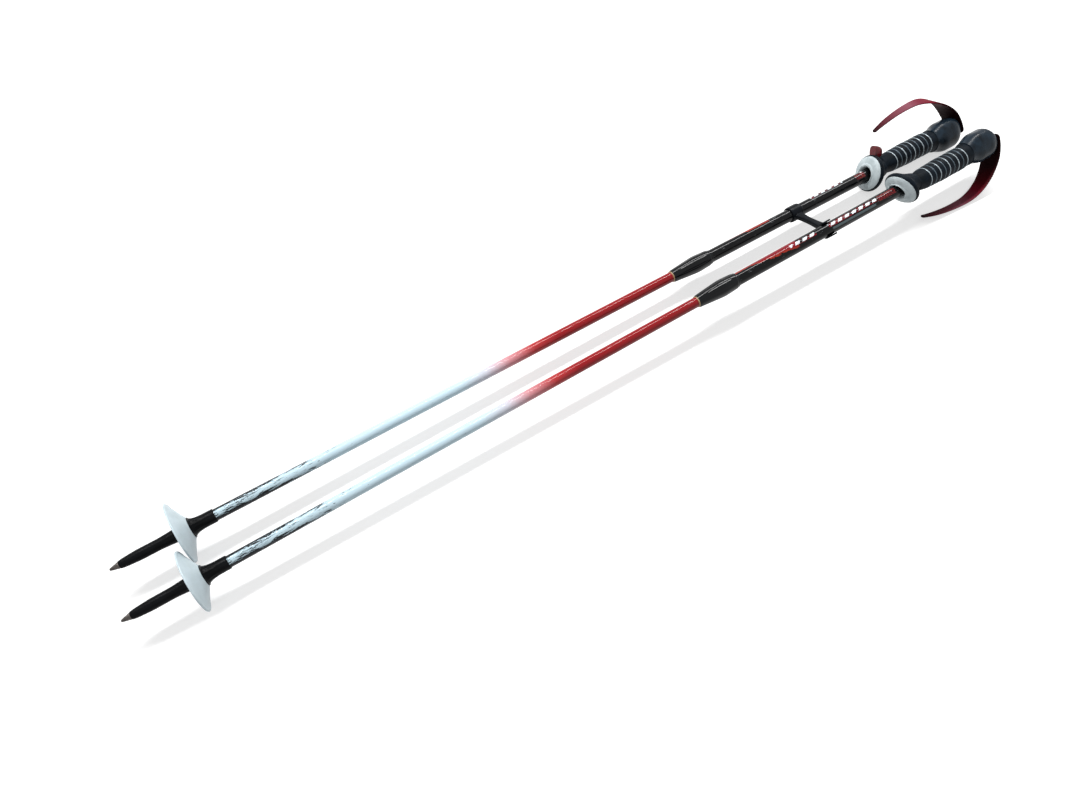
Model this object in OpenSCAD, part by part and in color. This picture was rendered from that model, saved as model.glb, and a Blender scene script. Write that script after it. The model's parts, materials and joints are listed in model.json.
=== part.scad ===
// A pair of two-section telescopic poles with twist locks, powder baskets and open hand guards,
// clipped together side by side. Millimetres, +Z up, poles along X with the grips at +X.
// Every piece of a pole is drawn along its own X axis, measured from the point of its tip.

/* [Pole] */
// Length from the point of the tip to the end of the grip head, as set
pole_len = 1333; // [1240:1:1380]
// Outside diameter of the lower tube
low_d = 14; // [12:0.5:15]
// Wall of the lower tube
low_wall = 1; // [0.8:0.1:1.5]
// Outside diameter of the upper tube
up_d = 18; // [17.5:0.5:20]
// Wall of the upper tube
up_wall = 1; // [0.8:0.1:1.2]
// Length of lower tube held inside the upper tube, as set
insertion = 150; // [110:1:180]
// Gap between a running shaft and its hole, on the radius
run_gap = 0.05; // [0.02:0.01:0.1]

/* [Tip and basket] */
// Length of the bare steel point
point_len = 11; // [8:0.5:14]
// Diameter of the steel point at its base
point_d = 8; // [6:0.5:9]
// Length of the tip holder, from the steel point to its upper end
ferrule_len = 110; // [95:1:130]
// Radius of the tip holder's straight seat for a rubber foot
foot_seat_r = 6.6; // [6:0.1:7]
// Length of that seat
foot_seat_len = 25; // [18:1:28]
// Length of the taper between the steel point and that seat
foot_taper = 22; // [16:1:26]
// Wall of the tip holder round the lower tube
ferrule_wall = 1.1; // [1:0.1:1.8]
// Diameter of the basket's rim
basket_d = 75; // [60:1:84]
// Depth of the basket's cone, from its rim to its hub
basket_depth = 13.5; // [11:0.5:14.5]
// Width of the basket's flatter outer band
band_w = 13; // [10:0.5:15]
// Rise of that band from the rim
band_rise = 5.5; // [4:0.5:6]
// Wall of the basket
basket_wall = 1.4; // [1.2:0.1:1.6]
// Distance from the tip holder's upper end down to its flared shoulder
shoulder_from_top = 28.5; // [24:0.5:34]
// Diameter of the flared shoulder behind the basket
shoulder_d = 25; // [21:0.5:28]

/* [Twist lock] */
// Distance from the grip's rest plate down to the lower end of the lock sleeve
sleeve_from_grip = 358; // [330:1:380]
// Length of the lock sleeve on the end of the upper tube
sleeve_len = 66; // [55:1:80]
// Largest diameter of the lock sleeve
sleeve_d = 24.4; // [23:0.2:28]
// Diameter of the lock sleeve's lower end
sleeve_mouth_d = 17.4; // [16.8:0.2:19]
// Diameter of the expander's steel stud
stud_d = 6; // [5:0.5:7]
// Length of the split expander
expander_len = 24; // [18:1:30]

/* [Grip] */
// Length of the grip, from the front of its rest plate to the end of its head
grip_len = 202; // [190:1:230]
// Diameter of the rest plate under the hand
plate_d = 53; // [46:1:55]
// Slant of the rest plate, with its guard side nearer the head
plate_slant = 20; // [10:1:24]
// Diameter of the pale disc on the rest plate
disc_d = 49; // [42:1:51]
// Largest diameter of the hand hold
hold_d = 36; // [32:0.5:38]
// Number of silver rings round the hand hold
ring_count = 9; // [5:1:11]
// Distance between neighbouring rings
ring_pitch = 9; // [7:0.5:10]
// Width of one ring
ring_w = 2; // [1:0.2:3]
// Width of the head, from the guard side to the back
head_w = 45; // [40:1:50]
// Breadth of the head, across the guard's plane
head_b = 37; // [34:1:42]
// Length of the head
head_len = 56; // [50:1:60]

/* [Hand guard] */
// Distance from the pole's axis to the guard's furthest point
guard_reach = 64; // [58:1:72]
// Length of the guard along the pole
guard_len = 172; // [150:1:180]
// Thickness of the guard's strap
guard_t = 3; // [2.4:0.2:4]
// Width of the guard's strap at the head
guard_w = 28; // [24:1:32]
// Diameter of the screw that holds the guard
screw_d = 5; // [4:0.5:6]

/* [Pair] */
// Distance between the two poles' axes, seen from above
pole_gap = 61; // [60:1:68]
// How far the right pole's tip lies beyond the left pole's
tip_shift = 8; // [7.6:0.2:12]
// Slope of the guards below and above the horizontal
guard_slope = 48; // [42:1:52]
// Distance from the right grip's rest plate down to the clip
clip_from_grip = 128; // [100:1:170]
// Length of the clip's cuff along the left pole
cuff_len = 19; // [14:1:24]
// Length of the clip's open jaw along the right pole
jaw_len = 13; // [10:1:18]
// Wall of the clip
clip_wall = 2.4; // [2:0.2:3]

/* [Hidden] */
$fn = 64;
EPS = 0.01;

// Stations along a pole, from the point of its tip
ferrule_end = point_len + ferrule_len;
shoulder_at = ferrule_end - shoulder_from_top;
rim_at = shoulder_at - basket_depth;
basket_r = basket_d / 2;
foot_seat_at = point_len + foot_taper;
tube_seat = rim_at + 2;
grip_at = pole_len - grip_len;
sleeve_at = grip_at - sleeve_from_grip;
sleeve_lip = 8;
up_start = sleeve_at + sleeve_lip;
tube_stop = 22;
up_end = pole_len - tube_stop;
low_end = sleeve_at + insertion;
clip_at = grip_at - clip_from_grip;
low_r = low_d / 2;
up_r = up_d / 2;
up_bore_r = up_r - up_wall;
low_bore_r = low_r - low_wall;
ferrule_r = low_r + ferrule_wall;

// Lock parts
plug_len = 20;
stud_len = 36;
nut_len = 5;
expander_gap = 4;
expander_at = low_end + expander_gap;

// Grip
head_at = pole_len - guard_t - head_len;
plate_t = 7;
disc_t = 5;
plate_lean = 16;
plate_mid = grip_at + plate_lean;
ring_end = head_at - 14;
ring_proud = 0.25;
ring_depth = 0.8;
neck_r = 13.5;
head_corner_r = head_w / 2 + 1.5;

// Guard: how far it ends beyond the head, the ellipse's run, the arc's drop, and what follows from them
guard_over = 1;
screw_rise = 2;
curve_run = 78;
arc_drop = 13;
guard_x = pole_len + guard_over - guard_t / 2 - screw_rise - EPS;
turn_x = guard_x - curve_run;
arc_run = guard_len - curve_run;
arc_r = (arc_run * arc_run + arc_drop * arc_drop) / (2 * arc_drop);
arc_a = asin(arc_run / arc_r);
reach = guard_reach - guard_t / 2;
root_below = 11;
// Middle line of the strap as [station, distance from the axis]; first the root, then the ellipse, the arc
guard_line = concat(
  [[guard_x, -root_below], [guard_x, 0]],
  [for (a = [10:8:90]) [turn_x + curve_run * cos(a), reach * sin(a)]],
  [for (a = [arc_a / 10:arc_a / 10:arc_a + EPS]) [turn_x - arc_r * sin(a), reach - arc_r * (1 - cos(a))]]);

// The baskets, the right guard and the left head lie on the ground: each pole's axis starts at the
// basket's rim and slopes until the lowest point of its guard or its head touches
rim_z = basket_r;
head_low_at = pole_len - 8;
right_pitch = max([for (i = [2:len(guard_line) - 1]) let (p = guard_line[i] - side_of(i) * guard_t / 2)
  asin((p[1] * sin(guard_slope) + guard_half(p[0]) * cos(guard_slope) - rim_z) / (p[0] - rim_at))]);
left_pitch = asin((head_corner_r - rim_z) / (head_low_at - rim_at));
right_roll = guard_slope - 90;
left_roll = right_roll + 180;
mid_x = (pole_len + guard_over + tip_shift) / 2;

// Places children drawn along X on the right (near) or left (far) pole
module on_right() {
  translate([-mid_x, -pole_gap / 2, rim_z - rim_at * sin(right_pitch)])
    rotate([0, -right_pitch, 0]) children();
}
module on_left() {
  translate([-mid_x + tip_shift, pole_gap / 2, rim_z - rim_at * sin(left_pitch)])
    rotate([0, -left_pitch, 0]) children();
}
// The same with the pole turned so that its guard, drawn towards -Z, slopes the right way
module on_right_grip() { on_right() rotate([right_roll, 0, 0]) children(); }
module on_left_grip() { on_left() rotate([left_roll, 0, 0]) children(); }

// A profile of [radius, station] points turned round the pole's axis
module turned(points) {
  rotate([0, 90, 0]) rotate_extrude() polygon(points);
}
// A round bar or tube along the pole from one station to another
module bar(from, to, r) {
  translate([from, 0, 0]) rotate([0, 90, 0]) cylinder(r = r, h = to - from);
}
module pipe(from, to, r, bore_r) {
  difference() {
    bar(from, to, r);
    bar(from - 1, to + 1, bore_r);
  }
}

// ---- Tip and basket
shank_r = 2.5;
shank_len = 18;
point_r = 0.7;
module steel_tip() {
  color("#8c8f90") {
    turned([[0, 0], [point_r, 0.3], [point_d / 2, point_len], [0, point_len]]);
    bar(point_len - EPS, point_len + shank_len, shank_r);
  }
}
flare_len = 12;
module tip_holder() {
  // The shoulder's curve falls from its rim to the holder's barrel as a quarter of an ellipse
  flare = [for (a = [0:15:90])
    [shoulder_d / 2 - (shoulder_d / 2 - ferrule_r) * sin(a),
     shoulder_at + 1 + flare_len * (1 - cos(a))]];
  color("#15181b") difference() {
    turned(concat(
      [[0, point_len], [point_d / 2 + 0.6, point_len], [foot_seat_r, foot_seat_at],
       [foot_seat_r, foot_seat_at + foot_seat_len], [ferrule_r, rim_at - 2], [ferrule_r, shoulder_at],
       [shoulder_d / 2, shoulder_at]],
      flare, [[ferrule_r, ferrule_end], [0, ferrule_end]]));
    bar(tube_seat, ferrule_end + 1, low_r);
    bar(point_len - 1, point_len + shank_len + 0.5, shank_r);
  }
}
hub_wall = 2.6;
module basket() {
  hub_r = ferrule_r + hub_wall;
  band_r = basket_r - band_w;
  color("#c9d6dc") turned([
    [ferrule_r, shoulder_at], [shoulder_d / 2 + 0.4, shoulder_at],
    [band_r, rim_at + band_rise + basket_wall], [basket_r, rim_at + basket_wall], [basket_r, rim_at],
    [band_r, rim_at + band_rise], [hub_r, shoulder_at - basket_wall - 2],
    [hub_r, rim_at + 3], [ferrule_r, rim_at + 3]]);
}

// ---- Tubes
module lower_tube() { color("#b4cdd8") pipe(tube_seat, low_end, low_r, low_bore_r); }
module upper_tube() { color("#121316") pipe(up_start, up_end, up_r, up_bore_r); }

// ---- Twist lock
module tube_plug() {
  color("#d8d8d0") pipe(low_end - plug_len, low_end, low_bore_r, stud_d / 2);
}
module lock_stud() {
  cone_at = expander_at + 3;
  color("#9a9fa3") {
    bar(low_end - plug_len, low_end + stud_len, stud_d / 2);
    turned([[0, low_end], [low_bore_r - 0.5, low_end], [low_bore_r - 0.5, low_end + 2], [0, low_end + 2]]);
    turned([[0, cone_at], [stud_d / 2 + 0.2, cone_at], [stud_d / 2 + 2.4, cone_at + 14],
            [0, cone_at + 14]]);
  }
}
slot_w = 1.6;
module expander() {
  cone_at = expander_at + 3;
  gap = run_gap;
  color("#e6e3d6") difference() {
    bar(expander_at, expander_at + expander_len, up_bore_r - gap);
    bar(expander_at - 1, expander_at + expander_len + 1, stud_d / 2 + gap);
    turned([[0, cone_at - 1], [stud_d / 2 + 0.2 + gap, cone_at - 1], [stud_d / 2 + 0.2 + gap, cone_at],
            [stud_d / 2 + 2.4 + gap, cone_at + 14], [stud_d / 2 + 2.4 + gap, cone_at + 15],
            [0, cone_at + 15]]);
    for (a = [0, 90])
      rotate([a, 0, 0]) translate([expander_at + 5, -slot_w / 2, -up_r])
        cube([expander_len, slot_w, up_d]);
  }
}
module stud_nut() {
  nut_at = low_end + stud_len - nut_len;
  color("#2a2c2e") pipe(nut_at, nut_at + nut_len, 5.5, stud_d / 2);
}
module lock_sleeve() {
  step = 1.2;
  color("#0c0d10") difference() {
    turned([[0, sleeve_at], [sleeve_mouth_d / 2 - 0.8, sleeve_at], [sleeve_mouth_d / 2, sleeve_at + 2],
      [sleeve_d / 2 - 1.2, sleeve_at + sleeve_len * 0.42], [sleeve_d / 2, sleeve_at + sleeve_len * 0.6],
      [sleeve_d / 2 - 0.5, sleeve_at + sleeve_len * 0.78], [up_r + step, sleeve_at + sleeve_len - 1],
      [up_r + step - 0.5, sleeve_at + sleeve_len], [0, sleeve_at + sleeve_len]]);
    bar(up_start, sleeve_at + sleeve_len + 1, up_r);
    bar(sleeve_at - 1, up_start + 1, low_r + 0.8);
  }
}
module sleeve_bush() {
  color("#a48a66") union() {
    pipe(sleeve_at - 1.4, up_start, low_r + 0.8, low_r + run_gap);
    pipe(sleeve_at - 1.4, sleeve_at, sleeve_mouth_d / 2 - 1, low_r + run_gap);
  }
}

// ---- Grip. The hold is turned, with a groove for each ring.
function hold_r(s) = neck_r + (hold_d / 2 - neck_r) * sin(90 * min(1, max(0, s)));
hold_start = plate_mid + plate_t;
function ring_at(i) = ring_end - ring_pitch * i;
function grip_r(x) = hold_r((x - hold_start) / 70);
module grip_solid() {
  marks = [for (i = [ring_count - 1:-1:0]) let (x = ring_at(i)) each [
    [grip_r(x - ring_w / 2), x - ring_w / 2], [grip_r(x - ring_w / 2) - ring_depth, x - ring_w / 2],
    [grip_r(x - ring_w / 2) - ring_depth, x + ring_w / 2], [grip_r(x + ring_w / 2), x + ring_w / 2]]];
  turned(concat([[0, hold_start], [neck_r, hold_start]], marks, [[hold_d / 2 - 0.6, head_at], [0, head_at]]));
  rest_plate();
}
module grip_body() {
  color("#1d2733") difference() {
    grip_solid();
    bar(grip_at - 40, head_at + 1, up_r);
  }
}
module rest_plate() {
  translate([plate_mid, 0, 0]) rotate([0, -plate_slant, 0])
    rotate([0, 90, 0]) rotate_extrude() polygon([
      [0, -plate_t / 2], [disc_d / 2, -plate_t / 2], [plate_d / 2 - 0.6, -plate_t / 2 + 1],
      [plate_d / 2, 0], [plate_d / 2 - 1.6, plate_t / 2], [neck_r + 3, plate_t], [neck_r, plate_t * 2],
      [0, plate_t * 2]]);
}
module rest_disc() {
  front = -plate_t / 2;
  color("#a9b3b6") difference() {
    translate([plate_mid, 0, 0]) rotate([0, -plate_slant, 0])
      rotate([0, 90, 0]) rotate_extrude() polygon([
        [0, front - disc_t], [up_r + 4, front - disc_t], [up_r + 6.5, front - disc_t + 2.2],
        [disc_d / 2 - 1, front - 1.2], [disc_d / 2, front], [0, front]]);
    bar(grip_at - 40, plate_mid + 20, up_r);
    // dark gap round the tube, open towards the tip
    translate([plate_mid, 0, 0]) rotate([0, -plate_slant, 0])
      rotate([0, 90, 0]) rotate_extrude() polygon([
        [0, front - disc_t - 1], [up_r + 3, front - disc_t - 1], [up_r + 2, front - 1.5], [0, front - 1.5]]);
  }
}
module grip_rings() {
  color("#b9c2c6") for (i = [0:ring_count - 1]) {
    x = ring_at(i);
    difference() {
      turned([[0, x - ring_w / 2], [grip_r(x - ring_w / 2) + ring_proud, x - ring_w / 2],
              [grip_r(x + ring_w / 2) + ring_proud, x + ring_w / 2], [0, x + ring_w / 2]]);
      bar(x - ring_w, x + ring_w, grip_r(x - ring_w / 2) - ring_depth);
    }
  }
}
// Half size of the head at a share s of its length: it swells from the hold, then rounds off at the end
head_swell = 0.42;
head_round = 0.3;
function head_half(s, full, start) =
  s < head_swell ? start + (full - start) * (0.5 - 0.5 * cos(180 * s / head_swell)) :
  s < 1 - head_round ? full :
  full - 9 * (1 - sqrt(max(0, 1 - pow((s - 1 + head_round) / head_round, 2))));
module head_outline(full, start) {
  steps = 20;
  polygon(concat(
    [for (k = [0:steps]) [head_at + head_len * k / steps, head_half(k / steps, full, start)]],
    [for (k = [steps:-1:0]) [head_at + head_len * k / steps, -head_half(k / steps, full, start)]]));
}
module grip_head() {
  start = hold_d / 2 - 0.6;
  head_end = head_at + head_len;
  color("#27333d") difference() {
    intersection() {
      rotate([90, 0, 0]) linear_extrude(height = 2 * head_w, center = true) head_outline(head_w / 2, start);
      linear_extrude(height = 2 * head_w, center = true) head_outline(head_b / 2, start);
      bar(head_at - 1, head_end + 1, head_corner_r);
    }
    // room for the end of the upper tube
    bar(head_at - 1, up_end, up_r);
    guard_seat();
    bar(up_end - 1, pole_len + 5, screw_d / 2);
  }
}

// ---- Hand guard: a strap along a quarter ellipse at the head and a long shallow arc beyond it
function side_of(i) = let (
  a = guard_line[max(0, i - 1)], b = guard_line[min(len(guard_line) - 1, i + 1)],
  d = (b - a) / norm(b - a)) [-d[1], d[0]];
// Half width of the strap at a station: full at the head, narrow at the free end
function guard_half(x) = let (s = (guard_x + guard_t - x) / guard_len)
  guard_w / 2 * (0.16 + 0.84 * pow(max(0, 1 - s), 1.6)) * min(1, 0.35 + (1 - s) * 12);
// The recess in the head's end that the guard's root lies in, along the strap's inner face
module guard_seat() {
  inner = [for (i = [0:5]) guard_line[i] + side_of(i) * guard_t / 2];
  rotate([90, 0, 0]) linear_extrude(height = guard_w + 1, center = true)
    polygon(concat([for (p = inner) [p[0], -p[1]]],
                   [[guard_x + 30, -inner[5][1]], [guard_x + 30, -inner[0][1]]]));
}
module hand_guard() {
  n = len(guard_line);
  outline = concat(
    [for (i = [0:n - 1]) guard_line[i] + side_of(i) * guard_t / 2],
    [for (i = [n - 1:-1:0]) guard_line[i] - side_of(i) * guard_t / 2]);
  stations = [for (k = [0:20]) guard_x + guard_t - (guard_len + guard_t + 4) * k / 20];
  color("#7a0f22") difference() {
    intersection() {
      rotate([90, 0, 0]) linear_extrude(height = guard_w + 4, center = true)
        polygon([for (p = outline) [p[0], -p[1]]]);
      linear_extrude(height = 4 * guard_reach, center = true)
        polygon(concat([for (x = stations) [x, guard_half(x)]],
                       [for (k = [20:-1:0]) [stations[k], -guard_half(stations[k])]]));
    }
    bar(guard_x - guard_t, guard_x + guard_t, screw_d / 2);
  }
}
module guard_screw() {
  color("#b8bcc4") {
    bar(up_end + 2, guard_x + guard_t / 2, screw_d / 2);
    turned([[0, guard_x + guard_t / 2], [screw_d, guard_x + guard_t / 2],
            [screw_d - 1, guard_x + guard_t / 2 + screw_rise - 0.2],
            [0, guard_x + guard_t / 2 + screw_rise]]);
  }
}
// A small rounded tab that stands behind the rest plate on the guard's side
tab_r = 8;
tab_w = 9;
tab_gap = 0.15;
module red_tab() {
  color("#b3122a") difference() {
    translate([plate_mid, 0, 0]) rotate([0, -plate_slant, 0])
      translate([plate_t / 2 + 5, 0, -plate_d / 2 - 1]) rotate([90, 0, 0])
        cylinder(r = tab_r, h = tab_w, center = true);
    translate([tab_gap, 0, 0]) rest_plate();
    bar(plate_mid, head_at, hold_d / 2 + tab_gap);
    // only the part behind the plate's back face is kept
    translate([plate_mid, 0, 0]) rotate([0, -plate_slant, 0])
      translate([-40, -20, -60]) cube([40 + plate_t / 2, 40, 60]);
  }
}

// ---- Clip: a closed cuff round the left tube, an open jaw round the right tube and a web between
left_clip_x = clip_at - tip_shift;
mouth_tilt = 27;
module cuff_disc(r) { on_left() bar(left_clip_x - cuff_len / 2, left_clip_x + cuff_len / 2, r); }
module jaw_frame() { on_right() translate([clip_at, 0, 0]) rotate([mouth_tilt, 0, 0]) children(); }
module pole_clip() {
  jaw_r = up_r + run_gap + 0.05;
  left_z = rim_z - rim_at * sin(left_pitch) + left_clip_x * sin(left_pitch);
  right_z = rim_z - rim_at * sin(right_pitch) + clip_at * sin(right_pitch);
  web_slope = atan2(right_z - left_z, pole_gap);
  web_l = norm([pole_gap, right_z - left_z]);
  color("#20242c") difference() {
    union() {
      cuff_disc(up_r + clip_wall);
      jaw_frame() {
        rotate([0, 90, 0]) cylinder(r = jaw_r + clip_wall, h = jaw_len, center = true);
        translate([-jaw_len / 2, -jaw_r - clip_wall, 0]) cube([jaw_len, 2 * (jaw_r + clip_wall), 7]);
      }
      translate([clip_at - mid_x, pole_gap / 2, left_z]) rotate([-web_slope, 0, 0])
        translate([-jaw_len / 2, -web_l + up_r + 1, -4]) cube([jaw_len, web_l - 2 * up_r - 2, 8]);
    }
    on_left() bar(0, pole_len - 100, up_r);
    jaw_frame() {
      rotate([0, 90, 0]) cylinder(r = jaw_r, h = 4 * jaw_len, center = true);
      translate([-2 * jaw_len, -jaw_r, 0]) cube([4 * jaw_len, 2 * jaw_r, 30]);
    }
  }
}

on_right() steel_tip();  // right_steel_tip
on_right() tip_holder();  // right_tip_holder
on_right() basket();  // right_basket
on_right() lower_tube();  // right_lower_tube
on_right() tube_plug();  // right_tube_plug
on_right() lock_stud();  // right_lock_stud
on_right() expander();  // right_expander
on_right() stud_nut();  // right_stud_nut
on_right() upper_tube();  // right_upper_tube
on_right() lock_sleeve();  // right_lock_sleeve
on_right() sleeve_bush();  // right_sleeve_bush
on_right_grip() grip_body();  // right_grip_body
on_right_grip() rest_disc();  // right_rest_disc
on_right_grip() grip_rings();  // right_grip_rings
on_right_grip() grip_head();  // right_grip_head
on_right_grip() hand_guard();  // right_hand_guard
on_right_grip() guard_screw();  // right_guard_screw
on_left() steel_tip();  // left_steel_tip
on_left() tip_holder();  // left_tip_holder
on_left() basket();  // left_basket
on_left() lower_tube();  // left_lower_tube
on_left() tube_plug();  // left_tube_plug
on_left() lock_stud();  // left_lock_stud
on_left() expander();  // left_expander
on_left() stud_nut();  // left_stud_nut
on_left() upper_tube();  // left_upper_tube
on_left() lock_sleeve();  // left_lock_sleeve
on_left() sleeve_bush();  // left_sleeve_bush
on_left_grip() grip_body();  // left_grip_body
on_left_grip() rest_disc();  // left_rest_disc
on_left_grip() grip_rings();  // left_grip_rings
on_left_grip() grip_head();  // left_grip_head
on_left_grip() hand_guard();  // left_hand_guard
on_left_grip() guard_screw();  // left_guard_screw
on_left_grip() red_tab();  // left_red_tab
pole_clip();
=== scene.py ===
import json
import bmesh
import bpy
import numpy as np
from mathutils import Matrix, Vector


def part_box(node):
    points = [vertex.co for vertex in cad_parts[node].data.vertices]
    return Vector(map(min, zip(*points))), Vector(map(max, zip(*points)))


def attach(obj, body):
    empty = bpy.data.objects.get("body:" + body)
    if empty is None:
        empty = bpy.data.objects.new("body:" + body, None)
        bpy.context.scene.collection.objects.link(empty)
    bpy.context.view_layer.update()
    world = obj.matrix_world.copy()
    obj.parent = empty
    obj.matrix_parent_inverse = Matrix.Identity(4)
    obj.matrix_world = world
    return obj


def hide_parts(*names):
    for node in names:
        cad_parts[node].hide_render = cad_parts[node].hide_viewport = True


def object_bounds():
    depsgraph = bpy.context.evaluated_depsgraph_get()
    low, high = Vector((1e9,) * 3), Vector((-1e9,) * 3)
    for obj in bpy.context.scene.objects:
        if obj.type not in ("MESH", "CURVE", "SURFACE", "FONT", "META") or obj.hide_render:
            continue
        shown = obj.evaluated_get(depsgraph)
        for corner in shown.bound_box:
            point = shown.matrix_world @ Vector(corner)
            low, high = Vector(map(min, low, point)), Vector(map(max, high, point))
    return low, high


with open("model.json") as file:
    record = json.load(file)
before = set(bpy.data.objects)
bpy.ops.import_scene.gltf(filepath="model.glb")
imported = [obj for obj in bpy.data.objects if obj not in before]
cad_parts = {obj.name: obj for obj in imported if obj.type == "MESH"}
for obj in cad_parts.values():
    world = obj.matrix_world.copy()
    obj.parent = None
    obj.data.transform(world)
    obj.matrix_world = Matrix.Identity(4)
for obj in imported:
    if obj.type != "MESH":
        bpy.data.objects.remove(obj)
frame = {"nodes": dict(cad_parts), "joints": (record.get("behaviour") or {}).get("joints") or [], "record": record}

# A pair of telescopic poles, lying clipped together. Shapes are worked out in millimetres in
# pole space: station along the pole from its tip, then across it, then outwards.
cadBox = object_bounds()
mm = 0.001
sides = ("right", "left")
print("frame loaded:", len(frame["nodes"]), "nodes")


# camera, light and floor
view = {
    "place": (-0.4312, -0.4719, 0.8922),
    "looks": (0.2788, 0.4274, -0.8600),
    "tilt": 0.31,       # degrees the camera leans over
    "lens": 27.03,
    "sensor": 36.0,
}
studio = {
    "domeStrength": 0.42,
    "lampPower": 58.0,
    "lampPlace": (0.5, 0.78, 1.42),
    "lampSize": (3.2, 0.14),
    "fillPower": 5.0,
    "fillPlace": (-0.9, -1.0, 2.0),
    "fillSize": 1.6,
    "floorSize": 12.0,
    "floorGlow": 0.60,
    "floorPaint": "#c0c0c0",
}


def linear(code):
    # sRGB hex to linear: each channel c becomes ((c + 0.055) / 1.055) ^ 2.4, or c / 12.92 when dark
    c = np.array([int(code[i:i + 2], 16) for i in (1, 3, 5)]) / 255
    low, high = c / 12.92, ((c + 0.055) / 1.055) ** 2.4
    return (*np.where(c <= 0.04045, low, high).tolist(), 1.0)


def addNode(tree, kind, inputs={}, stops=(), **settings):
    # one node with its settings, its input values or links, and the stops of its ramp
    node = tree.nodes.new(kind)
    for name, value in settings.items():
        setattr(node, name, value)
    for key, value in inputs.items():
        if isinstance(value, bpy.types.NodeSocket):
            tree.links.new(value, node.inputs[key])
        else:
            node.inputs[key].default_value = value
    for number, (place, code) in enumerate(stops):
        ramp = node.color_ramp.elements
        element = ramp[number] if number < 2 else ramp.new(place)
        element.position, element.color = place, linear(code)
    return node


def aimed(target, place, looks, tilt=0.0):
    forward = Vector(looks).normalized()
    right = forward.cross(Vector((0, 0, 1))).normalized()
    up = right.cross(forward)
    turn = np.radians(tilt)
    across = right * np.cos(turn) + up * np.sin(turn)
    above = up * np.cos(turn) - right * np.sin(turn)
    target.matrix_world = Matrix((across, above, -forward)).transposed().to_4x4()
    target.location = place


def addObject(name, data):
    made = bpy.data.objects.new(name, data)
    bpy.context.scene.collection.objects.link(made)
    return made


def directRay(tree):
    # 1 for camera, glossy and transmission rays, which see the surroundings white
    ray = addNode(tree, "ShaderNodeLightPath").outputs
    seen = addNode(tree, "ShaderNodeMath", {0: ray["Is Camera Ray"], 1: ray["Is Glossy Ray"]},
                   operation="MAXIMUM")
    return addNode(tree, "ShaderNodeMath", {0: seen.outputs[0], 1: ray["Is Transmission Ray"]},
                   operation="MAXIMUM").outputs[0]


def makeStudio():
    scene = bpy.context.scene
    scene.view_settings.view_transform = "Standard"
    camera = addObject("mainCamera", bpy.data.cameras.new("mainCamera"))
    camera.data.lens, camera.data.sensor_width = view["lens"], view["sensor"]
    camera.data.clip_start, camera.data.clip_end = 0.01, 60
    aimed(camera, view["place"], view["looks"], view["tilt"])
    scene.camera = camera

    world = bpy.data.worlds.new("paleRoom")
    scene.world = world
    world.use_nodes = True
    tree = world.node_tree
    strength = addNode(tree, "ShaderNodeMapRange", {0: directRay(tree), 3: studio["domeStrength"], 4: 1.0})
    back = tree.nodes["Background"]
    back.inputs["Color"].default_value = (1, 1, 1, 1)
    tree.links.new(strength.outputs[0], back.inputs["Strength"])

    lamp = addObject("longLamp", bpy.data.lights.new("longLamp", "AREA"))
    lamp.data.shape, lamp.data.energy = "RECTANGLE", studio["lampPower"]
    lamp.data.size, lamp.data.size_y = studio["lampSize"]
    aimed(lamp, studio["lampPlace"], (0, -studio["lampPlace"][1], -studio["lampPlace"][2]))
    fill = addObject("softFill", bpy.data.lights.new("softFill", "AREA"))
    fill.data.energy, fill.data.size = studio["fillPower"], studio["fillSize"]
    aimed(fill, studio["fillPlace"], -np.array(studio["fillPlace"]))

    half = studio["floorSize"] / 2
    ground = bpy.data.meshes.new("paleFloor")
    low = cadBox[0].z
    corners = [(-half, -half, low), (half, -half, low), (half, half, low), (-half, half, low)]
    ground.from_pydata(corners, [], [(0, 1, 2, 3)])
    floor = addObject("paleFloor", ground)
    paint = bpy.data.materials.new("paleFloorPaint")
    paint.use_nodes = True
    tree = paint.node_tree
    shader = tree.nodes["Principled BSDF"]
    shader.inputs["Base Color"].default_value = linear(studio["floorPaint"])
    shader.inputs["Roughness"].default_value = 0.9
    shader.inputs["Specular IOR Level"].default_value = 0.0
    shader.inputs["Emission Color"].default_value = (1, 1, 1, 1)
    glow = addNode(tree, "ShaderNodeMath", {0: directRay(tree), 1: studio["floorGlow"]}, operation="MULTIPLY")
    tree.links.new(glow.outputs[0], shader.inputs["Emission Strength"])
    ground.materials.append(paint)


makeStudio()
print("camera, light and floor ready")


mounts = {m["name"]: m for m in frame["record"]["mounts"]}
slideAxis = {j["name"]: j["axis"] for j in frame["joints"]}
seatMiddle = 45.5       # station of the rubber foot's seat that the record's mount gives
rolls = {               # degrees each pole's grip is turned, and the tube with its painted face up
    "rightGrip": -42.0, "leftGrip": 138.0, "tube": 206.4,
}


def poleSpace(side, roll):
    # origin and three axes: along the pole, across it, and outwards, the last two turned by roll
    toTip = np.array(slideAxis[side + "_telescope"])
    along = -toTip / np.linalg.norm(toTip)
    origin = np.array(mounts[side + "_foot_seat"]["pos_m"]) + toTip * seatMiddle * mm
    level = np.array([0.0, 1.0, 0.0])
    above = np.cross(along, level)
    c, s = np.cos(np.radians(roll)), np.sin(np.radians(roll))
    return origin, np.array([along, level * c + above * s, level * s - above * c])


def spanOf(side, node):
    # first and last station of a node
    low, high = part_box(side + "_" + node)
    origin, axes = poleSpace(side, 0)
    return tuple((x - origin[0]) / axes[0][0] / mm for x in (low.x, high.x))


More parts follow.
